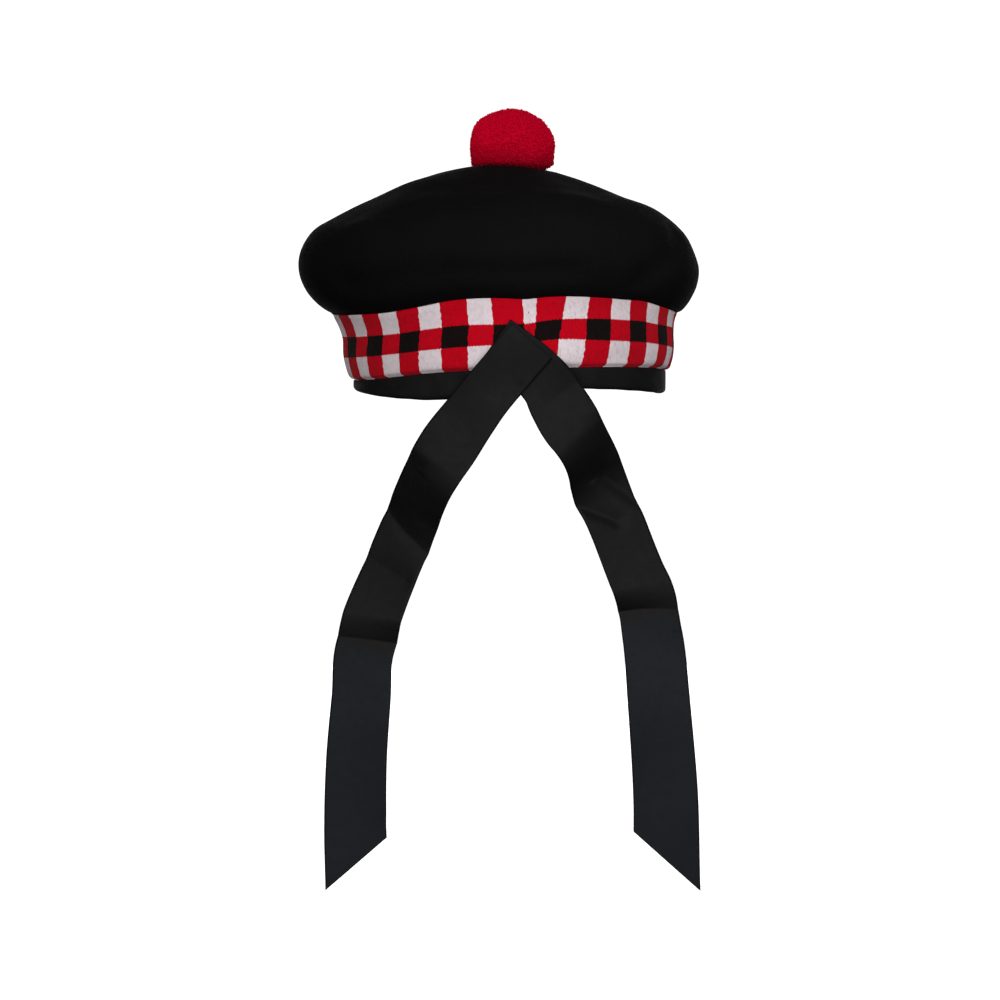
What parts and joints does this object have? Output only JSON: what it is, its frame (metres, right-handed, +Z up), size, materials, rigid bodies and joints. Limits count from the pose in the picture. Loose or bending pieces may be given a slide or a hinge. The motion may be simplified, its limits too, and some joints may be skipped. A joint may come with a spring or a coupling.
{
  "type": "balmoral bonnet",
  "caption": "Balmoral bonnet with a felted crown, wool toorie, diced knit band, bound rim and ribbon tails hanging at the back.",
  "frame": {"origin": "middle of the rim, on the bonnet's axis, at the level where the bonnet sits on a head", "axes": "+Z up through the crown, -Y the back with the ribbon tails, +X to the right seen from the back"},
  "size_m": [0.2185, 0.219, 0.4206],
  "materials": {
    "crown_felt": "matte felted wool, black",
    "band_knit": "knitted wool, diced in red, white and black",
    "binding_tape": "woven tape, black",
    "toorie_wool": "cut wool pile, red",
    "ribbon_cloth": "fine ribbed ribbon, black"
  },
  "bodies": {
    "root": {"crown": "crown_felt", "diced_band": "band_knit", "binding": "binding_tape", "toorie": "toorie_wool", "tail_left": "ribbon_cloth", "tail_right": "ribbon_cloth"}
  },
  "joints": []
}
